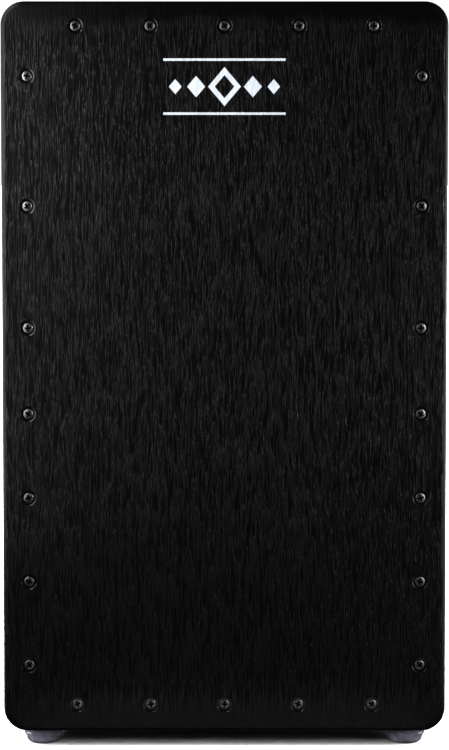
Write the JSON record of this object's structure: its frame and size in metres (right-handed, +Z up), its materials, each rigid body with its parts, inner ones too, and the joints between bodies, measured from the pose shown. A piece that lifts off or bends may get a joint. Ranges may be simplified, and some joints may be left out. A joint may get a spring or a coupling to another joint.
{
  "type": "cajon",
  "caption": "Box drum of black grained wood with a thin screwed-on playing board, a round sound hole in the back, rubber feet and a hinged snare bar inside.",
  "frame": {"origin": "on the floor under the feet, below the centre of the box", "axes": "+Z up; the playing board faces -Y and the sound hole +Y; +X is to the right seen from the front"},
  "size_m": [0.3, 0.3, 0.505],
  "materials": {
    "black_tapa": "satin",
    "black_ply": "satin",
    "black_back": "satin",
    "print_white": "satin",
    "dark_nickel": "gloss",
    "smoky_rubber": "gloss",
    "pale_wood": "matte",
    "hardwood": "satin",
    "zinc": "satin",
    "snare_steel": "gloss",
    "felt": "matte",
    "grip_rubber": "matte"
  },
  "bodies": {
    "box": {"tapa": "black_tapa", "tapa_screws": "dark_nickel", "front_mark": "print_white", "seat_panel": "black_ply", "bottom_panel": "black_ply", "left_side": "black_ply", "right_side": "black_ply", "back_panel": "black_back", "back_screws": "dark_nickel", "front_batten_top": "pale_wood", "front_batten_bottom": "pale_wood", "front_batten_left": "pale_wood", "front_batten_right": "pale_wood", "rear_batten_top": "pale_wood", "rear_batten_bottom": "pale_wood", "rear_batten_left": "pale_wood", "rear_batten_right": "pale_wood", "corner_block_top_left": "pale_wood", "corner_block_top_right": "pale_wood", "corner_block_bottom_left": "pale_wood", "corner_block_bottom_right": "pale_wood", "foot_front_left": "smoky_rubber", "foot_front_right": "smoky_rubber", "foot_rear_left": "smoky_rubber", "foot_rear_right": "smoky_rubber", "foot_washers": "zinc", "foot_screws": "zinc", "bearing_block_left": "hardwood", "bearing_block_right": "hardwood", "bearing_screws": "zinc", "stop_dowels": "hardwood", "felt_washers": "felt"},
    "snare_bar": {"snare_bar": "hardwood", "pivot_pin_left": "zinc", "pivot_pin_right": "zinc", "snare_clip_left": "snare_steel", "snare_clip_right": "snare_steel", "snare_wires_left": "snare_steel", "snare_wires_right": "snare_steel", "snare_clip_screws": "zinc", "snare_lever": "snare_steel", "lever_grip": "grip_rubber", "lever_screws": "zinc"}
  },
  "joints": [
    {"name": "snare_release", "type": "hinge", "parent": "box", "child": "snare_bar", "pos_m": [0, -0.13, 0.33], "axis": [-1, 0, 0], "range_deg": [0, 10]}
  ]
}
